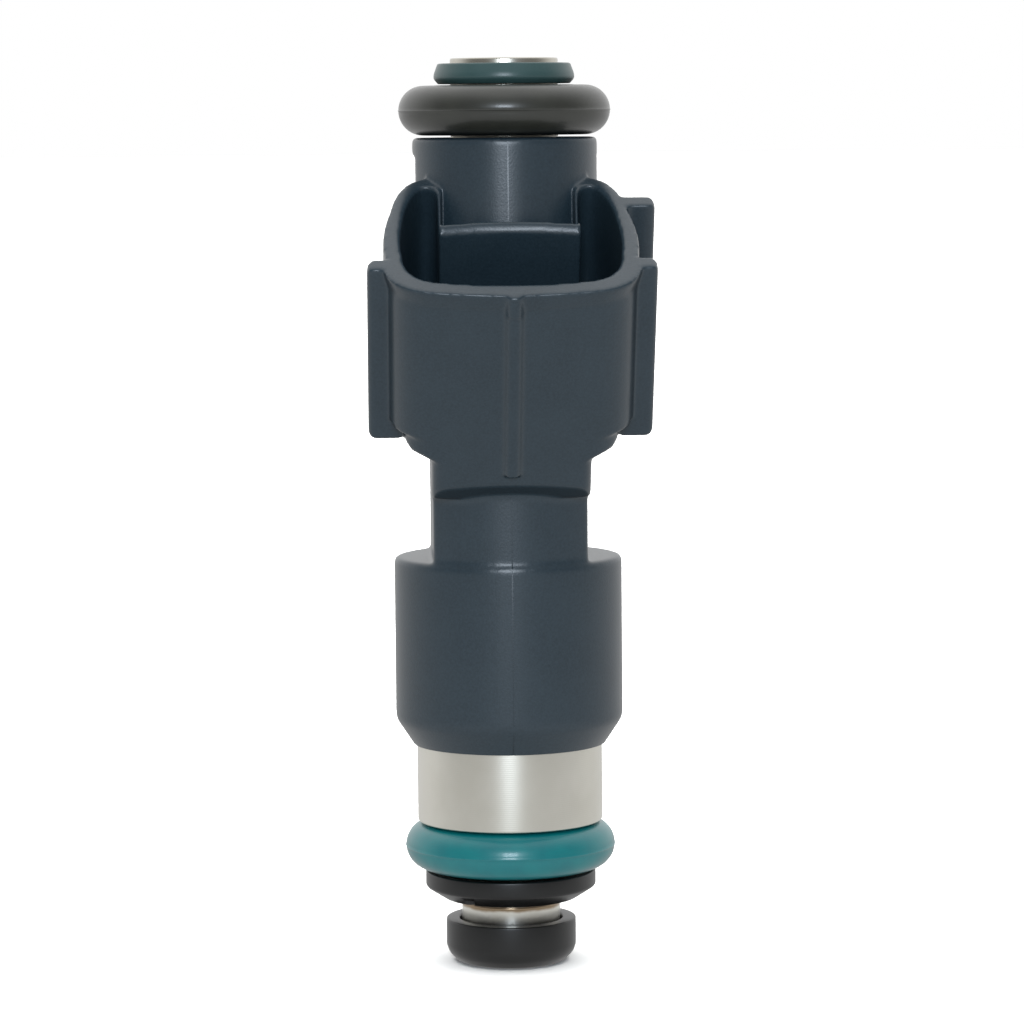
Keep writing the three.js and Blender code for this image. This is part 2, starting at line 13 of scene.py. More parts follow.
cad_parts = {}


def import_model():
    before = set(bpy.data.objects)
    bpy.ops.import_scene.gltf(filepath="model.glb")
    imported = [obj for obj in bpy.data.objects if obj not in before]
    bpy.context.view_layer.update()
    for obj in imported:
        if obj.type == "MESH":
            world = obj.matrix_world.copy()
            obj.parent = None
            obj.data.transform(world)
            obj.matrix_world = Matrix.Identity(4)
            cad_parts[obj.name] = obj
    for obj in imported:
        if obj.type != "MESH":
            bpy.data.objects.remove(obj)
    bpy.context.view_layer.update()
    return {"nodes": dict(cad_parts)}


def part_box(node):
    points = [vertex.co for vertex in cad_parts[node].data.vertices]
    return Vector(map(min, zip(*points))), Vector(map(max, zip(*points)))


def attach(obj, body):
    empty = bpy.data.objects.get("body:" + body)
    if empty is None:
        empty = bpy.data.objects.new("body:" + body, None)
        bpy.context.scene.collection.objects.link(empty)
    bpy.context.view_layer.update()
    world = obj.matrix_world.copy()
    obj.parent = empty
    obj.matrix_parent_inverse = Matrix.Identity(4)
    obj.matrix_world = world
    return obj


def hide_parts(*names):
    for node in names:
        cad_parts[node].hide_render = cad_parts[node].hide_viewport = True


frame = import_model()

MM = 0.001
CLEARANCE = 0.01           # between pieces that sit on each other
BODY = "injector_body"


def span(node):
    """Lowest and highest corner of a CAD node, in millimetres."""
    low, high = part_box(node)
    return low / MM, high / MM


HOUSING_LOW, HOUSING_HIGH = span("housing_overmould")
YOKE_LOW, YOKE_HIGH = span("yoke_shell")
VALVE_LOW, VALVE_HIGH = span("valve_body")
INLET_LOW, INLET_HIGH = span("inlet_tube")

# ---- Sizes of the moulding ----

PLASTIC_BOTTOM = HOUSING_LOW.z
SHOULDER = HOUSING_HIGH.z
LOWER_BODY_R = HOUSING_HIGH.y
BEVEL_TOP = 17.2
BEVEL_SLOPE = 1.5          # rise over run of the bevel below the lower body
SLOT_BOTTOM = 28.45
SLOT_DROP = 0.2            # the slot's floor falls this much from the neck to the rim
SLOT_TOP = 35.6
NECK_R = 7.7
NECK_FLAT_X = 5.27
UPPER_BODY_R = 6.35

# The connector shroud leans forward. In its own frame x is across, y back from its front face and z
# out of its mouth, with the front lip at z = 0.
LEAN = math.radians(29)
LIP_FORWARD = 16.6
LIP_Z = 47.3
SHROUD_LENGTH = 11.8
SOCKET_DEPTH = 9.5
SHROUD = Matrix.Translation((0, -LIP_FORWARD, LIP_Z)) @ Matrix.Rotation(LEAN, 4, "X")

# Right half of the shroud's outline and of its socket's. Corner, side, bow, lobe, tip and gap are
# distances from the middle. Front, corner_end, back and ledge are distances back from the front face.
OUTER = dict(
    front=0, corner=5.4, corner_end=3.9, side=8.25, bow=8.85,
    lobe=8, tip=5.6, back=15.1, gap=4.5, ledge=9.3,
)
SOCKET = dict(
    front=1.1, corner=4.7, corner_end=5.2, side=7.25, bow=7.5,
    lobe=7, tip=5.7, back=13.9, gap=4.75, ledge=8.6,
)
BOW_BACK = 7.2             # where the side swells most
LOBE_START = 10.7          # where the side turns into the lobe's round end
LEDGE_ARCH = 0.4           # how much further back the ledge is in its middle than at its ends
FRONT_BOW = 0.45           # how far the middle of the front stands forward of a point BOW_HALF to its side
BOW_HALF = 5.4

# ---- Shapes ----

ROUND_STEPS = 5
BEND_POINTS = 9


def outline(corners):
    """A closed wire in the XZ plane through corners of (across, up, rounding)."""
    bm = bmesh.new()
    verts = [bm.verts.new((across, 0, up)) for across, up, _ in corners]
    for start, end in zip(verts, verts[1:] + verts[:1]):
        bm.edges.new((start, end))
    for rounding in sorted({corner[2] for corner in corners} - {0}):
        chosen = [vert for vert, corner in zip(verts, corners) if corner[2] == rounding]
        bmesh.ops.bevel(
            bm, geom=chosen, offset=rounding, offset_type="OFFSET", segments=ROUND_STEPS,
            profile=0.5, affect="VERTICES", clamp_overlap=True, material=-1,
        )
    return bm


def spun(corners, facets=192):
    """A ring turned about the axis, from its section's corners."""
    bm = outline(corners)
    bmesh.ops.spin(
        bm, geom=bm.verts[:] + bm.edges[:], cent=(0, 0, 0), axis=(0, 0, 1),
        angle=2 * math.pi, steps=facets, use_merge=True,
    )
    return closed(bm)


def closed(bm):
    """Merges doubles, drops faces with no area and points the rest outwards."""
    bmesh.ops.remove_doubles(bm, verts=bm.verts[:], dist=1e-4)
    bmesh.ops.dissolve_degenerate(bm, edges=bm.edges[:], dist=1e-4)
    bmesh.ops.recalc_face_normals(bm, faces=bm.faces[:])
    return bm


def prism(points, low, high):
    """A solid with a flat outline of (x, y) points, from one height to another."""
    bm = bmesh.new()
    face = bm.faces.new([bm.verts.new((x, y, low)) for x, y in points])
    made = bmesh.ops.extrude_face_region(bm, geom=[face])["geom"]
    top = [part for part in made if isinstance(part, bmesh.types.BMVert)]
    bmesh.ops.translate(bm, verts=top, vec=(0, 0, high - low))
    return closed(bm)


def block(low, high):
    """A box between two corners."""
    bm = bmesh.new()
    low, high = Vector(low), Vector(high)
    place = Matrix.Translation((low + high) / 2) @ Matrix.Diagonal((*(high - low), 1))
    bmesh.ops.create_cube(bm, size=1, matrix=place)
    return bm


def rounded(bm, edges, width):
    """Rounds some edges of a solid."""
    bmesh.ops.bevel(
        bm, geom=edges, offset=width, offset_type="OFFSET", segments=4,
        profile=0.5, affect="EDGES", clamp_overlap=True, material=-1,
    )
    return bm


def trimmed(bm, point, normal):
    """Cuts off what lies beyond a plane, and closes the cut."""
    made = bmesh.ops.bisect_plane(
        bm, geom=bm.verts[:] + bm.edges[:] + bm.faces[:], dist=1e-5,
        plane_co=point, plane_no=normal, clear_outer=True,
    )["geom_cut"]
    rim = [part for part in made if isinstance(part, bmesh.types.BMEdge)]
    bmesh.ops.contextual_create(bm, geom=rim)
    return closed(bm)


def bend(start, corner, end):
    """Points of a round stretch between two straights that would meet at a corner."""
    first, pull, last = (Vector((*point, 0)) for point in (start, corner, end))
    points = interpolate_bezier(
        first, first.lerp(pull, 2 / 3), last.lerp(pull, 2 / 3), last, BEND_POINTS)
    return [tuple(point.xy) for point in points]


# Stands a flat outline up, so that its x and y become y and z and it is extruded along x.
UPRIGHT = Matrix(((0, 0, 1, 0), (1, 0, 0, 0), (0, 1, 0, 0), (0, 0, 0, 1)))

# ---- Working on solids ----


def as_object(bm, name):
    """An object in the scene with a bmesh as its mesh. The bmesh is used up."""
    mesh = bpy.data.meshes.new(name)
    bm.to_mesh(mesh)
    bm.free()
    made = bpy.data.objects.new(name, mesh)
    bpy.context.scene.collection.objects.link(made)
    return made


def settled(obj, tools=()):
    """The mesh that an object's modifiers give. The object and its tools are used up."""
    depsgraph = bpy.context.evaluated_depsgraph_get()
    mesh = bpy.data.meshes.new_from_object(obj.evaluated_get(depsgraph))
    bm = bmesh.new()
    bm.from_mesh(mesh)
    for used in [mesh, obj.data, *(tool.data for tool in tools)]:
        bpy.data.meshes.remove(used)
    return bm


def worked(bm, join=(), cut=()):
    """A solid with others joined to it, and then others cut from it."""
    base = as_object(bm, "blank")
    tools = []
    for operation, solids in (("UNION", join), ("DIFFERENCE", cut)):
        for solid in solids:
            tool = as_object(solid, "tool")
            step = base.modifiers.new(operation, "BOOLEAN")
            step.operation = operation
            step.solver = "MANIFOLD"
            step.object = tool
            tools.append(tool)
    return settled(base, tools)


def softened(bm, grain, passes, triangles):
    """A moulded form: every edge and every inner corner of a solid gets a small round, by smoothing passes
    on a remesh of it at a grain in millimetres, and then it is thinned to so many triangles."""
    form = as_object(bm, "form")
    remesh = form.modifiers.new("remesh", "REMESH")
    remesh.mode = "VOXEL"
    remesh.voxel_size = grain
    smooth = form.modifiers.new("smooth", "SMOOTH")
    smooth.factor = 0.5
    smooth.iterations = passes
    fine = settled(form)
    share = triangles / (2 * len(fine.faces))
    form = as_object(fine, "form")
    thin = form.modifiers.new("thin", "DECIMATE")
    thin.ratio = min(1, share)
    return settled(form)


# ---- Materials ----


def colour(code):
    """Linear colour from an sRGB hex value such as "3a454e"."""
    channels = [int(code[i:i + 2], 16) / 255 for i in (0, 2, 4)]
    linear = [c / 12.92 if c <= 0.04045 else ((c + 0.055) / 1.055) ** 2.4 for c in channels]
    return (*linear, 1)


def add(tree, kind, inputs=None, **settings):
    """Adds a node, with its settings and with values or links on its inputs."""
    node = tree.nodes.new(kind)
    for name, value in settings.items():
        setattr(node, name, value)
    for name, value in (inputs or {}).items():
        socket = node.inputs[name]
        if isinstance(value, bpy.types.NodeSocket):
            tree.links.new(value, socket)
        else:
            socket.default_value = value
    return node


def new_material(name, **shader_values):
    """A material with its shader, and the place on the piece that its patterns read."""
    material = bpy.data.materials.new(name)
    material.use_nodes = True
    tree = material.node_tree
    tree.nodes.clear()
    inputs = {key.replace("_", " "): value for key, value in shader_values.items()}
    shader = add(tree, "ShaderNodeBsdfPrincipled", inputs)
    add(tree, "ShaderNodeOutputMaterial", {"Surface": shader.outputs[0]})
    place = add(tree, "ShaderNodeTexCoord").outputs["Object"]
    return material, tree, shader, place


def per_mm(features):
    """Texture scale for so many features to the millimetre."""
    return features / MM


def blotched(tree, shader, place, features, first, second):
    """A base colour of two hex colours mixed by soft noise, with so many features to the millimetre."""
    noise = add(tree, "ShaderNodeTexNoise", {
        "Vector": place, "Scale": per_mm(features), "Detail": 3})
    share = add(tree, "ShaderNodeMapRange", {
        "Value": noise.outputs["Fac"], "From Min": 0.35, "From Max": 0.65})
    mixed = add(tree, "ShaderNodeMix", {
        "Factor": share.outputs["Result"], "A": colour(first), "B": colour(second),
    }, data_type="RGBA").outputs["Result"]
    tree.links.new(mixed, shader.inputs["Base Color"])
    return mixed


def overlaid(tree, shader, under, share, code):
    """A base colour with a hex colour laid over the one under it, where its share says."""
    mixed = add(tree, "ShaderNodeMix", {
        "Factor": share.outputs["Result"], "A": under, "B": colour(code)}, data_type="RGBA")
    tree.links.new(mixed.outputs["Result"], shader.inputs["Base Color"])


def relief(tree, shader, pattern, depth, strength):
    """A surface that stands up where a pattern is bright, by a depth in millimetres."""
    bump = add(tree, "ShaderNodeBump", {
        "Height": pattern.outputs["Fac"], "Distance": depth * MM, "Strength": strength})
    tree.links.new(bump.outputs["Normal"], shader.inputs["Normal"])


def uneven(tree, shader, place, features, detail, depth, strength):
    """An uneven surface, from noise with so many features to the millimetre and a depth in millimetres."""
    noise = add(tree, "ShaderNodeTexNoise", {
        "Vector": place, "Scale": per_mm(features), "Detail": detail})
    relief(tree, shader, noise, depth, strength)


# Marks that run round the axis spread the highlight along it.
ROUND_MARKS = dict(Anisotropic=0.6, Anisotropic_Rotation=0.25)


def marked_round(tree, shader):
    """Turns the marks that stretch the highlight to run round the axis."""
    around = add(tree, "ShaderNodeTangent", direction_type="RADIAL", axis="Z")
    tree.links.new(around.outputs["Tangent"], shader.inputs["Tangent"])


def moulded_nylon():
    """Glass-filled nylon from a spark-eroded tool: matte blue-grey, with a fine even grain and faint
    clouding where the glass lies near the surface."""
    material, tree, shader, place = new_material(
        "moulded_glass_filled_nylon", Roughness=0.31, IOR=1.53)
    cloud = blotched(tree, shader, place, 0.35, "23323b", "27363f")
    # Glass fibres are 0.01 mm thick; the specks that they make are drawn at 0.15 mm to show.
    specks = add(tree, "ShaderNodeTexNoise", {"Vector": place, "Scale": per_mm(6.5), "Detail": 2})
    share = add(tree, "ShaderNodeMapRange", {
        "Value": specks.outputs["Fac"], "From Min": 0.3, "From Max": 0.7, "To Min": 0.0, "To Max": 0.5})
    overlaid(tree, shader, cloud, share, "33434d")
    # The real grain is about 0.05 mm; it is drawn at 0.12 mm to show.
    uneven(tree, shader, place, 8, detail=2, depth=0.01, strength=0.7)
    return material


def seal_rubber(name, first, second, roughness):
    """Moulded rubber: a soft sheen under a thin oily coat, a faint bloom and a fine skin."""
    material, tree, shader, place = new_material(
        name, Roughness=roughness, IOR=1.52, Coat_Weight=0.25, Coat_Roughness=0.13)
    blotched(tree, shader, place, 0.6, first, second)
    uneven(tree, shader, place, 5, detail=3, depth=0.008, strength=0.5)
    return material


def plain_plastic(name, first, second, roughness):
    """Unfilled moulded plastic: smoother than the housing, with faint flow marks."""
    material, tree, shader, place = new_material(name, Roughness=roughness, IOR=1.5)
    blotched(tree, shader, place, 0.5, first, second)
    uneven(tree, shader, place, 3, detail=4, depth=0.008, strength=0.5)
    return material


def turned_steel():
    """Ferritic stainless steel off the lathe: fine feed lines round it, which break up the highlight."""
    material, tree, shader, place = new_material(
        "turned_stainless_steel", Metallic=1.0, Roughness=0.33, **ROUND_MARKS)
    marked_round(tree, shader)
    blotched(tree, shader, place, 0.25, "d5d3c9", "dddbd2")
    # The real feed is about 0.08 mm; it is drawn at 0.14 mm to show. A wave texture of scale 1 repeats
    # every 2 pi / 20 of a metre.
    feed = 0.1382
    lines = add(tree, "ShaderNodeTexWave", {
        "Vector": place, "Scale": per_mm(1 / feed) * 2 * math.pi / 20, "Distortion": 0.0,
    }, wave_type="BANDS", bands_direction="Z")
    relief(tree, shader, lines, depth=0.004, strength=0.6)
    return material


def welded_steel(weld_z):
    """Drawn stainless tube with a laser weld round it, where the heat left a brown tint that wanders a
    little in height and fades above and below."""
    material, tree, shader, place = new_material(
        "drawn_stainless_tube_welded", Metallic=1.0, Roughness=0.3, **ROUND_MARKS)
    marked_round(tree, shader)
    steel = blotched(tree, shader, place, 0.6, "e6e4da", "ecebe3")
    wander = 0.3
    full_half, faded_half = 0.12, 0.3
    height = add(tree, "ShaderNodeSeparateXYZ", {"Vector": place}).outputs["Z"]
    noise = add(tree, "ShaderNodeTexNoise", {"Vector": place, "Scale": per_mm(0.8), "Detail": 3})
    shifted = add(tree, "ShaderNodeMath", {
        0: noise.outputs["Fac"], 1: wander * MM, 2: height}, operation="MULTIPLY_ADD")
    offset = add(tree, "ShaderNodeMath", {
        0: shifted.outputs[0], 1: (weld_z + wander / 2) * MM}, operation="SUBTRACT")
    away = add(tree, "ShaderNodeMath", {0: offset.outputs[0]}, operation="ABSOLUTE")
    heat = add(tree, "ShaderNodeMapRange", {
        "Value": away.outputs[0], "From Min": full_half * MM, "From Max": faded_half * MM,
        "To Min": 0.8, "To Max": 0.0})
    overlaid(tree, shader, steel, heat, "8a6a3c")
    uneven(tree, shader, place, 4, detail=4, depth=0.006, strength=0.4)
    return material


def plain_metal(name, first, second, roughness):
    """A metal with faint staining and fine marks from drawing or handling."""
    material, tree, shader, place = new_material(name, Metallic=1.0, Roughness=roughness)
    blotched(tree, shader, place, 0.4, first, second)
    uneven(tree, shader, place, 4, detail=4, depth=0.006, strength=0.4)
    return material


NYLON = moulded_nylon()
BLACK_RUBBER = seal_rubber("nitrile_rubber_moulded", "2c2d28", "32332d", 0.34)
GREEN_RUBBER = seal_rubber("green_fluorocarbon_rubber_moulded", "00757a", "047d80", 0.34)
COLLAR_PLASTIC = plain_plastic("blue_grey_nylon_moulded", "345050", "3a5555", 0.34)
BLACK_PLASTIC = plain_plastic("black_nylon_moulded", "0f1010", "141515", 0.34)
FILTER_PLASTIC = plain_plastic("natural_nylon_moulded", "8b866f", "98927c", 0.5)
TURNED_STEEL = turned_steel()
WELD_Z = span("lower_retainer")[0].z - 0.35  # the weld shows just under the retainer
WELDED_STEEL = welded_steel(WELD_Z)
TUBE_STEEL = plain_metal("drawn_stainless_tube", "b5b2a6", "c2bfb6", 0.28)
MAGNET_STEEL = plain_metal("ground_magnetic_steel", "8f908e", "a2a3a0", 0.35)
SPRING_STEEL = plain_metal("drawn_spring_wire", "95958f", "a9a9a4", 0.3)
BALL_STEEL = plain_metal("polished_bearing_steel", "c6c7c8", "cfd0d1", 0.08)
TIN = plain_metal("bright_tinned_brass", "b0ad9f", "bdbaae", 0.3)
BRASS = plain_metal("turned_brass", "8f7a4c", "9b8657", 0.34)
COPPER = plain_metal("enamelled_copper_wire", "8a431a", "9b5124", 0.35)

# ---- Making pieces ----


def piece(name, bm, material, node, crease=35):
    """A finished piece of the fixed body, in metres, that stands for a CAD node. Edges sharper than crease
    degrees stay crisp."""
    bmesh.ops.scale(bm, vec=(MM, MM, MM), verts=bm.verts[:])
    for face in bm.faces:
        face.smooth = True
    for edge in bm.edges:
        edge.smooth = edge.calc_face_angle(0) < math.radians(crease)
    made = as_object(bm, name)
    made.data.materials.append(material)
    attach(made, BODY)
    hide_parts(node)
    return made


# ---- Housing ----


def front_half(front, corner, side, corner_end):
    """The right half of a slightly bowed front and its round corner."""
    bow = FRONT_BOW * (corner / BOW_HALF) ** 2
    points = bend((0, front), (corner / 2, front), (corner, front + bow))
    pull = (side, front + bow + (side - corner) * 2 * bow / corner)
    return points + bend((corner, front + bow), pull, (side, corner_end))[1:]


def shroud_section(s):
    """The right half of the shroud's outline, from the middle of its front to the middle of its ledge."""
    lobe_pull = 0.5
    tip_round = 1.2
    points = front_half(s["front"], s["corner"], s["side"], s["corner_end"])
    points += bend((s["side"], s["corner_end"]), (s["bow"], BOW_BACK), (s["lobe"], LOBE_START))[1:]
    shoulder = (s["lobe"] - lobe_pull, s["back"] - lobe_pull)
    points += bend((s["lobe"], LOBE_START), shoulder, (s["tip"], s["back"]))[1:]
    points += bend((s["tip"], s["back"]), (s["gap"], s["back"]), (s["gap"], s["back"] - tip_round))[1:]
    arch_start = (s["gap"], s["ledge"] - LEDGE_ARCH)
    points += bend(arch_start, (s["gap"] / 2, s["ledge"]), (0, s["ledge"]))
    return points


def mirrored_outline(half):
    """A whole outline from its right half, whose first and last points are on the middle."""
    return half + [(-x, y) for x, y in reversed(half[1:-1])]


def in_shroud(bm):
    """A solid made in the shroud's own frame, put in its place."""
    bm.transform(SHROUD)
    return bm


def body_form():
    """The round body, solid, and a little long below, where it is cut off flat later."""
    spare = 0.6
    spare_r = LOWER_BODY_R - (BEVEL_TOP - PLASTIC_BOTTOM + spare) / BEVEL_SLOPE
    return spun([
        (0, PLASTIC_BOTTOM - spare, 0),
        (spare_r, PLASTIC_BOTTOM - spare, 0),
        (LOWER_BODY_R, BEVEL_TOP, 0.3),
        (LOWER_BODY_R, SLOT_BOTTOM - SLOT_DROP, 0),
        (NECK_R, SLOT_BOTTOM, 0),
        (NECK_R, SLOT_TOP, 0),
        (UPPER_BODY_R, SLOT_TOP, 0),
        (UPPER_BODY_R, SHOULDER, 0.15),
        (0, SHOULDER, 0),
    ], facets=256)


def clip_slots():
    """What is cut from both sides of the neck, where the clip goes in."""
    far = LOWER_BODY_R + 1
    return [
        block((min(side * NECK_FLAT_X, side * far), -far, SLOT_BOTTOM),
              (max(side * NECK_FLAT_X, side * far), far, SLOT_TOP))
        for side in (-1, 1)
    ]


def side_recess():
    """What is cut from the left of the upper body, to leave a shallow flat there."""
    flat_x = -6.15
    half_width = 3
    bottom = 38
    rim = 1.2
    return block((-UPPER_BODY_R - 1, -half_width, bottom), (flat_x, half_width, SHOULDER - rim))


STEM_HALF = 5.38
STEM_CORNER = 0.9
STEM_EDGE_Z = 34.05        # the front edge of its underside
STEM_ROOT_Z = 33.05        # where its underside runs into the neck
WEB_HALF = 7.2
WEB_CORNER = 2.2
TAPER_BOTTOM = 35.85       # the wide web's flank comes down to the stem through a knee
TAPER_KNEE = (6.75, 36.55)
TAPER_TOP = 37.3


def web(half_width, corner):
    """A column under the shroud, flush with its leaning front, with rounded front corners."""
    depth = 22
    behind_axis = 14
    overlap = 2
    half = [
        *front_half(0, half_width - corner, half_width, corner + FRONT_BOW),
        (half_width, behind_axis),
        (0, behind_axis),
    ]
    return in_shroud(prism(mirrored_outline(half), -depth, -SHROUD_LENGTH + overlap))


def stem():
    """The narrow web that meets the neck, with its underside sloping in."""
    column = web(STEM_HALF, STEM_CORNER)
    edge_y = -LIP_FORWARD + math.tan(LEAN) * (LIP_Z - STEM_EDGE_Z)
    sunk = 0.5
    root_y = -NECK_R + sunk
    slope = Vector((0, STEM_EDGE_Z - STEM_ROOT_Z, root_y - edge_y)).normalized()
    column = trimmed(column, (0, edge_y, STEM_EDGE_Z), (0, -slope.y, -slope.z))
    column = trimmed(column, (0, 0, STEM_ROOT_Z), (0, 0, -1))
    return trimmed(column, (0, 0, 0), (0, 1, 0))


def tapered_web():
    """The wide web that the shroud's sides come down to, narrowing to the stem."""
    column = web(WEB_HALF, WEB_CORNER)
    flank = [(STEM_HALF, TAPER_BOTTOM), TAPER_KNEE, (WEB_HALF, TAPER_TOP)]
    for side in (-1, 1):
        for (x, z), (next_x, next_z) in zip(flank, flank[1:]):
            slope = Vector((side * (next_z - z), 0, -(next_x - x)))
            column = trimmed(column, (side * x, 0, z), slope)
    column = trimmed(column, (0, 0, TAPER_BOTTOM - 0.5), (0, 0, -1))
    return trimmed(column, (0, 0, 0), (0, 1, 0))


# Each keying rib's side, how far out its edge is, how far back it starts, and its length.
KEY_RIBS = (
    (-1, 9.6, 3.1, 13.35),
    (1, 9.6, 3.1, 13.35),
    (1, 9.9, 11.1, 11.5),
)


def key_rib(side, tip, back, length):
    """A keying rib on one side of the shroud, with rounded outer edges."""
    thick = 1.3
    inside = 7.4
    bar = block((min(side * inside, side * tip), back, -length),
                (max(side * inside, side * tip), back + thick, 0))
    outer = [edge for edge in bar.edges if all(vert.co.x * side > tip - 0.1 for vert in edge.verts)]
    return in_shroud(rounded(bar, outer, 0.4))


def lip_bead():
    """The thickened lip across the front and round its corners, which thins out below."""
    proud = 0.36
    height = 1.2
    inset = 0.75 * proud
    side = OUTER["side"] + proud
    end = OUTER["corner_end"]
    half = [*front_half(-proud, OUTER["corner"], side, end), (0, end)]
    bead = prism(mirrored_outline(half), -height, 0)
    foot = [vert for vert in bead.verts if vert.co.z < -height / 2]
    bmesh.ops.scale(bead, vec=((side - inset) / side, 1, 1), verts=foot)
    bmesh.ops.translate(bead, vec=(0, inset, 0), verts=foot)
    return in_shroud(bead)


def centre_rib():
    """The rib down the middle of the front, and the taller stretch of it over the lip bead."""
    crest_half = 0.34
    foot_half = 0.72
    sunk = 0.05
    inside = 1
    stretches = []
    # How far each stretch stands out, and its two ends.
    for proud, low, high in ((0.5, -14.3, -0.8), (0.64, -1.6, -0.05)):
        half = [(0, -proud), (crest_half, -proud), (foot_half, sunk), (foot_half, inside), (0, inside)]
        stretches.append(in_shroud(prism(mirrored_outline(half), low, high)))
    return stretches


def ledge_chamfer():
    """What is cut from the socket's edge of the ledge, to lean it towards the mouth."""
    deep = 0.5
    wide = 0.45
    above = 1
    near = 0.01
    wedge = prism(mirrored_outline(shroud_section(SOCKET)), -deep, above)
    arch = [
        vert for vert in wedge.verts
        if vert.co.z > 0 and abs(vert.co.x) < SOCKET["gap"] + near
        and SOCKET["ledge"] - LEDGE_ARCH - near < vert.co.y < SOCKET["ledge"] + near
    ]
    bmesh.ops.translate(wedge, vec=(0, (above + deep) * wide / deep, 0), verts=arch)
    return in_shroud(wedge)


def gap_wall_dips():
    """What is cut from the thin walls beside the gap, which fall from the lobes' tips to the ledge."""
    half_x = 0.3
    wall_x = (OUTER["gap"] + SOCKET["gap"]) / 2
    ledge_y, tip_y = 9.1, 13.3
    depth = 3.2
    above = 1
    cuts = []
    for side in (-1, 1):
        dip = prism([(ledge_y, above), (ledge_y, -depth), (tip_y, 0.02), (tip_y, above)], -half_x, half_x)
        dip.transform(UPRIGHT)
        bmesh.ops.translate(dip, vec=(side * wall_x, 0, 0), verts=dip.verts[:])
        cuts.append(in_shroud(closed(dip)))
    return cuts


def parting_grooves():
    """Hairline grooves where the tool's halves met, down the front and the back of the round body."""
    half = 0.045
    depth = 0.028
    below = PLASTIC_BOTTOM - 1
    above = SHOULDER + 1
    outside = LOWER_BODY_R + 1
    profile = [
        (LOWER_BODY_R - 2, below),
        (LOWER_BODY_R, BEVEL_TOP),
        (LOWER_BODY_R, SLOT_BOTTOM - SLOT_DROP),
        (NECK_R, SLOT_BOTTOM),
        (NECK_R, STEM_ROOT_Z),
    ]
    lower = [(-radius + depth, height) for radius, height in profile]
    lower += [(-outside, STEM_ROOT_Z), (-outside, below)]
    upper_r = UPPER_BODY_R - depth
    clear_r = UPPER_BODY_R + 0.4
    front_start = 49.5     # above the shroud's ledge
    back_start = SLOT_TOP + 0.4
    grooves = [
        lower,
        [(-upper_r, front_start), (-upper_r, above), (-clear_r, above), (-clear_r, front_start)],
        [(upper_r, back_start), (upper_r, above), (outside, above), (outside, back_start)],
        [(-across, height) for across, height in lower],
    ]
    plates = []
    for groove in grooves:
        plate = prism(groove, -half, half)
        plate.transform(UPRIGHT)
        plates.append(closed(plate))
    return plates


def inner_room():
    """The room that the steel pieces take in the housing, and all that is below its lower edge."""
    yoke_r = YOKE_HIGH.x + CLEARANCE
    core_r = VALVE_HIGH.x + CLEARANCE
    tube_r = INLET_HIGH.x + CLEARANCE
    cover_top = span("yoke_cover")[1].z + CLEARANCE
    pole_top = span("pole_core")[1].z + CLEARANCE
    below = PLASTIC_BOTTOM - 2
    return spun([
        (0, below, 0),
        (LOWER_BODY_R + 1, below, 0),
        (LOWER_BODY_R + 1, PLASTIC_BOTTOM, 0),
        (yoke_r, PLASTIC_BOTTOM, 0),
        (yoke_r, cover_top, 0),
        (core_r, cover_top, 0),
        (core_r, pole_top, 0),
        (tube_r, pole_top, 0),
        (tube_r, SHOULDER + 1, 0),
        (0, SHOULDER + 1, 0),
    ])


BLADE_HALF_WIDTH = 1.2
BLADE_HALF_THICKNESS = 0.32
BLADE_FORWARD = 4.7
BLADE_BEND_Z = 35.3
BLADE_LENGTH = 12.4


def blade(side, clearance=0):
    """A flat strip that rises from the coil and leans out into the socket, with a chamfered end."""
    low, high = span("terminal_left" if side < 0 else "terminal_right")
    centre = (low.x + high.x) / 2
    thick = BLADE_HALF_THICKNESS + clearance
    bottom = low.z - clearance
    along = Vector((0, -math.sin(LEAN), math.cos(LEAN)))
    across = Vector((0, math.cos(LEAN), math.sin(LEAN)))
    knee = Vector((0, -BLADE_FORWARD, BLADE_BEND_Z))
    mitre = thick * math.tan(LEAN / 2)
    chamfer = 0.5
    tip_half = 0.15
    end = knee + along * (BLADE_LENGTH - chamfer)
    tip = knee + along * (BLADE_LENGTH + clearance)
    corners = [
        (-BLADE_FORWARD - thick, bottom),
        (-BLADE_FORWARD + thick, bottom),
        (-BLADE_FORWARD + thick, BLADE_BEND_Z + mitre),
        tuple((end + across * thick).yz),
        tuple((tip + across * tip_half).yz),
        tuple((tip - across * tip_half).yz),
        tuple((end - across * thick).yz),
        (-BLADE_FORWARD - thick, BLADE_BEND_Z - mitre),
    ]
    half = BLADE_HALF_WIDTH + clearance
    strip = prism(corners, centre - half, centre + half)
    strip.transform(UPRIGHT)
    return closed(strip)


def housing():
    """The whole moulding. Its moulded edges are softened first, so what is cut after that stays crisp."""
    form = worked(body_form(), cut=[*clip_slots(), side_recess()])
    form = worked(form, join=[
        in_shroud(prism(mirrored_outline(shroud_section(OUTER)), -SHROUD_LENGTH, 0)),
        stem(),
        tapered_web(),
        lip_bead(),
        *centre_rib(),
        *(key_rib(*rib) for rib in KEY_RIBS),
    ], cut=[
        in_shroud(prism(mirrored_outline(shroud_section(SOCKET)), -SOCKET_DEPTH, 1)),
        ledge_chamfer(),
        *gap_wall_dips(),
    ])
    form = softened(form, grain=0.11, passes=28, triangles=170000)
    form = worked(form, cut=[
        inner_room(), *parting_grooves(), blade(-1, CLEARANCE), blade(1, CLEARANCE)])
    return piece("housing", form, NYLON, "housing_overmould", crease=40)


housing()

# ---- Seals ----


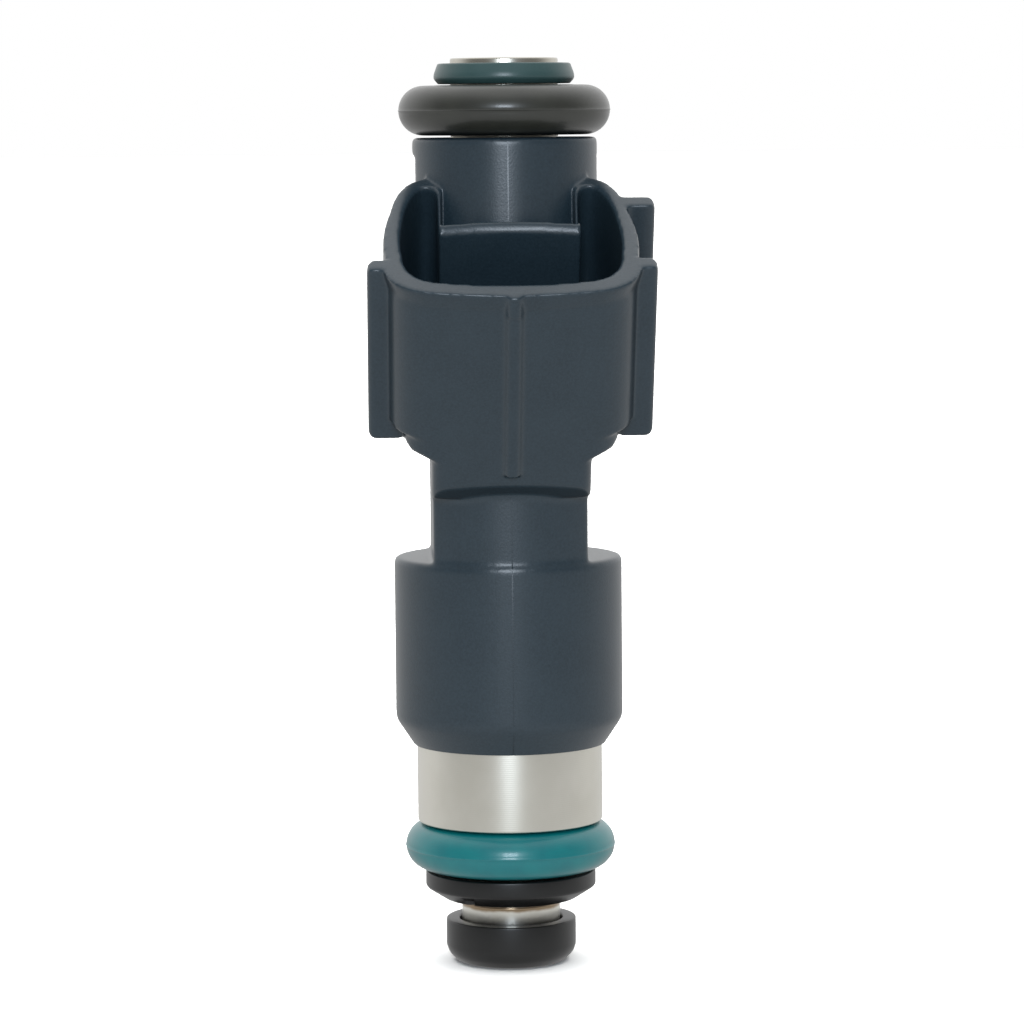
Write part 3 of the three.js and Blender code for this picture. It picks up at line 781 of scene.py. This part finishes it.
def seal(name, material, node):
    """An O-ring with the thin fin that its mould leaves round the middle."""
    low, high = span(node)
    section_r = (high.z - low.z) / 2
    height = (high.z + low.z) / 2
    ring_r = high.x - section_r
    fin_width = 0.05
    fin = 0.04
    near = 1e-4
    bm = bmesh.new()
    bmesh.ops.create_circle(
        bm, segments=48, radius=section_r - fin / 2,
        matrix=Matrix.Translation((ring_r, 0, height)) @ Matrix.Rotation(math.pi / 2, 4, "X"),
    )
    equator = [vert for vert in bm.verts if abs(vert.co.z - height) < near]
    bmesh.ops.bevel(
        bm, geom=equator, offset=fin_width, offset_type="OFFSET", segments=2,
        profile=0.5, affect="VERTICES", clamp_overlap=True, material=-1,
    )
    for vert in bm.verts:
        if abs(vert.co.z - height) < near:
            vert.co.x += fin if vert.co.x > ring_r else -fin
    bmesh.ops.spin(
        bm, geom=bm.verts[:] + bm.edges[:], cent=(0, 0, 0), axis=(0, 0, 1),
        angle=2 * math.pi, steps=256, use_merge=True,
    )
    return piece(name, closed(bm), material, node, crease=60)


seal("upper_seal", BLACK_RUBBER, "upper_o_ring")
seal("lower_seal", GREEN_RUBBER, "lower_o_ring")

# ---- Inlet end ----


def inlet_tube():
    """The drawn tube that the fuel comes in by, with a rounded rim."""
    bore_r = 3.0
    bm = spun([
        (INLET_HIGH.x, INLET_LOW.z, 0),
        (INLET_HIGH.x, INLET_HIGH.z, 0.12),
        (bore_r, INLET_HIGH.z, 0.3),
        (bore_r, INLET_LOW.z, 0),
    ])
    return piece("inlet", bm, TUBE_STEEL, "inlet_tube")


def upper_collar():
    """The ring that holds the upper seal on, bevelled above and below."""
    low, high = span("upper_collar")
    bore_r = INLET_HIGH.x + CLEARANCE
    bm = spun([
        (high.x - 0.3, low.z, 0.05),
        (high.x, low.z + 0.35, 0.12),
        (high.x, low.z + 0.65, 0.25),
        (high.x - 0.28, high.z, 0.12),
        (bore_r, high.z, 0),
        (bore_r, low.z, 0),
    ])
    return piece("collar", bm, COLLAR_PLASTIC, "upper_collar")


inlet_tube()
upper_collar()

# ---- Nozzle end ----

NOZZLE_R = 3.42
NOZZLE_FIT_R = NOZZLE_R + CLEARANCE


def steel_shell():
    """The turned shell: a heavy ring that shows as a bright band, and a thin wall round the coil."""
    coil_r = 5.62
    floor_z = 15.3
    bore_r = VALVE_HIGH.x + CLEARANCE
    bm = spun([
        (YOKE_HIGH.x, YOKE_LOW.z, 0.15),
        (YOKE_HIGH.x, YOKE_HIGH.z, 0.1),
        (coil_r, YOKE_HIGH.z, 0.1),
        (coil_r, floor_z, 0),
        (bore_r, floor_z, 0),
        (bore_r, YOKE_LOW.z, 0.1),
    ])
    return piece("steel_shell", bm, TURNED_STEEL, "yoke_shell")


def nozzle_tube():
    """The valve body, with a laser weld bead just under the retainer."""
    retainer_top = span("lower_retainer")[1].z
    bead_half = 0.14
    bead_proud = 0.05
    wide_bore_r, narrow_bore_r = 3.2, 2.6
    step_top, step_bottom = 12.6, 12.0
    bm = spun([
        (NOZZLE_R, VALVE_LOW.z, 0.1),
        (NOZZLE_R, WELD_Z - bead_half, 0),
        (NOZZLE_R + bead_proud, WELD_Z, 0.05),
        (NOZZLE_R, WELD_Z + bead_half, 0),
        (NOZZLE_R, retainer_top - 0.3, 0),
        (VALVE_HIGH.x, retainer_top, 0),
        (VALVE_HIGH.x, VALVE_HIGH.z, 0),
        (wide_bore_r, VALVE_HIGH.z, 0),
        (wide_bore_r, step_top, 0),
        (narrow_bore_r, step_bottom, 0),
        (narrow_bore_r, VALVE_LOW.z, 0.1),
    ])
    return piece("nozzle_tube", bm, WELDED_STEEL, "valve_body")


def retainer():
    """The snap ring under the lower seal, with its bevel and a small notch at the front."""
    low, high = span("lower_retainer")
    bevel_r = 4.6
    bevel_top = low.z + 0.85
    bm = spun([
        (bevel_r, low.z, 0.1),
        (high.x, bevel_top, 0.15),
        (high.x, high.z, 0.12),
        (VALVE_HIGH.x + CLEARANCE, high.z, 0),
        (NOZZLE_FIT_R, high.z - 0.45, 0),
        (NOZZLE_FIT_R, low.z, 0.05),
    ])
    notch_left, notch_right = -3.35, -2.65
    notch_back = -3.3
    notch_top = low.z + 0.5
    notch = block((notch_left, -high.x - 1, low.z - 1), (notch_right, notch_back, notch_top))
    bm = closed(worked(bm, cut=[notch]))
    return piece("retainer", bm, BLACK_PLASTIC, "lower_retainer")


def cap():
    """The cap over the nozzle's tip, with a bevelled foot and the spray's opening through it."""
    low, high = span("nozzle_cap")
    collar_r = 3.62
    throat_r = 2.2
    mouth_r = 2.4
    seat_z = VALVE_LOW.z - CLEARANCE
    bm = spun([
        (high.x - 0.85, low.z, 0.25),
        (high.x, low.z + 0.8, 0.5),
        (high.x, high.z, 0.12),
        (collar_r, high.z, 0.08),
        (NOZZLE_FIT_R, high.z - 0.6, 0),
        (NOZZLE_FIT_R, seat_z, 0),
        (throat_r, seat_z, 0),
        (mouth_r, low.z, 0.1),
    ])
    return piece("cap", bm, BLACK_PLASTIC, "nozzle_cap")


steel_shell()
nozzle_tube()
retainer()
cap()

# ---- Terminals ----

for side, node in ((-1, "terminal_left"), (1, "terminal_right")):
    piece(node + "_blade", blade(side), TIN, node)

# ---- Inner nodes that keep their CAD shape ----

KEPT = {
    "filter_frame": FILTER_PLASTIC,
    "filter_mesh": SPRING_STEEL,
    "filter_ring": BRASS,
    "adjusting_tube": TUBE_STEEL,
    "return_spring": SPRING_STEEL,
    "pole_core": MAGNET_STEEL,
    "armature": MAGNET_STEEL,
    "needle_tube": TUBE_STEEL,
    "valve_ball": BALL_STEEL,
    "valve_seat": TUBE_STEEL,
    "lower_guide": TUBE_STEEL,
    "orifice_plate": TUBE_STEEL,
    "air_gap_sleeve": TUBE_STEEL,
    "coil_bobbin": BLACK_PLASTIC,
    "coil_winding": COPPER,
    "yoke_cover": MAGNET_STEEL,
}
for node, material in KEPT.items():
    mesh = frame["nodes"][node].data
    mesh.materials.clear()
    mesh.materials.append(material)

# ---- Floor, light and camera ----


def floor():
    """A pale floor. It shows to the camera only: what the object reflects from below is in the room."""
    half_metres = 6
    bm = bmesh.new()
    bmesh.ops.create_grid(bm, x_segments=1, y_segments=1, size=half_metres)
    made = as_object(bm, "floor")
    material, tree, shader, place = new_material("white_paper_sweep", Roughness=0.9)
    blotched(tree, shader, place, 0.02, "f4f4f2", "f6f6f5")
    made.data.materials.append(material)
    made.visible_diffuse = False
    made.visible_glossy = False
    return made


def lamp(name, kind, place, target, **settings):
    """A lamp that shines from a place towards a target, both in metres."""
    data = bpy.data.lights.new(name, kind)
    for key, value in settings.items():
        setattr(data, key, value)
    made = bpy.data.objects.new(name, data)
    made.location = place
    made.rotation_euler = (Vector(target) - Vector(place)).to_track_quat("-Z", "Y").to_euler()
    bpy.context.scene.collection.objects.link(made)
    return made


def floor_light(receiver):
    """A wide overhead light for the floor alone, which leaves a soft shadow where the object stands."""
    overhead = lamp("overhead_bank", "SUN", (0, 0, 1), (0, 0, 0), energy=4.6, angle=math.radians(70))
    only = bpy.data.collections.new("floor_only")
    only.objects.link(receiver)
    overhead.light_linking.receiver_collection = only


# How bright the room is in front of and behind the object, as (height, level) with the height of the
# direction from straight down at -1 to straight up at 1.
FRONT_LEVELS = (
    (-1, 0.55), (-0.5, 0.75), (-0.12, 0.75), (0.02, 0.22), (0.5, 0.3), (0.75, 0.6), (1, 1.5),
)
BACK_LEVELS = (
    (-1, 0.55), (-0.5, 0.75), (-0.15, 0.7), (0.08, 1.05), (0.6, 1.1), (0.85, 1.45), (1, 1.3),
)


def brightness(tree, height, levels):
    """A grey that follows such levels with the height of a direction."""
    share = add(tree, "ShaderNodeMapRange", {"Value": height, "From Min": -1.0, "From Max": 1.0})
    ramp = add(tree, "ShaderNodeValToRGB", {"Fac": share.outputs["Result"]})
    stops = ramp.color_ramp.elements
    while len(stops) < len(levels):
        stops.new(0.5)
    for stop, (up, level) in zip(stops, levels):
        stop.position = (up + 1) / 2
        stop.color = (level, level, level, 1)
    return ramp.outputs["Color"]


def world():
    """A white room: a bright backdrop behind the object and a pale floor, with the dark of the room in
    front. The camera sees plain white."""
    made = bpy.data.worlds.new("white_room")
    made.use_nodes = True
    tree = made.node_tree
    tree.nodes.clear()
    direction = add(tree, "ShaderNodeTexCoord").outputs["Generated"]
    split = add(tree, "ShaderNodeSeparateXYZ", {"Vector": direction})
    front = brightness(tree, split.outputs["Z"], FRONT_LEVELS)
    back = brightness(tree, split.outputs["Z"], BACK_LEVELS)
    behind = add(tree, "ShaderNodeMapRange", {
        "Value": split.outputs["Y"], "From Min": -0.35, "From Max": 0.6,
    }, interpolation_type="SMOOTHSTEP")
    level = add(tree, "ShaderNodeMix", {
        "Factor": behind.outputs["Result"], "A": front, "B": back}, data_type="RGBA")
    room = add(tree, "ShaderNodeBackground", {"Color": level.outputs["Result"], "Strength": 1.0})
    backdrop = add(tree, "ShaderNodeBackground", {"Color": (1, 1, 1, 1), "Strength": 1.0})
    seen = add(tree, "ShaderNodeLightPath").outputs["Is Camera Ray"]
    both = add(tree, "ShaderNodeMixShader", {0: seen, 1: room.outputs[0], 2: backdrop.outputs[0]})
    add(tree, "ShaderNodeOutputWorld", {"Surface": both.outputs[0]})
    bpy.context.scene.world = made


def camera():
    """A long lens a little above the object, which looks slightly down on it."""
    distance = 287 * MM
    height = 58.8 * MM
    yaw = math.radians(2.1)
    pitch = math.radians(5.45)
    roll = math.radians(-0.5)
    right = 0.30 * MM
    data = bpy.data.cameras.new("camera")
    data.sensor_width = 36
    data.lens = 146.25
    data.clip_start = 0.01
    data.clip_end = 20
    eye = bpy.data.objects.new("camera", data)
    turn = Matrix.Rotation(-yaw, 4, "Z")
    place = turn @ Matrix.Translation((right, -distance, height))
    tilt = Matrix.Rotation(math.pi / 2 - pitch, 4, "X") @ Matrix.Rotation(roll, 4, "Z")
    eye.matrix_world = place @ tilt
    bpy.context.scene.collection.objects.link(eye)
    bpy.context.scene.camera = eye


floor_light(floor())
world()
lamp(
    "front_softbox", "AREA", place=(-0.018, -0.5, 0.17), target=(0, 0, 0.035),
    shape="RECTANGLE", size=0.14, size_y=0.16, energy=1.12, color=(0.86, 0.96, 1.08),
)
camera()
bpy.context.scene.view_settings.view_transform = "Standard"
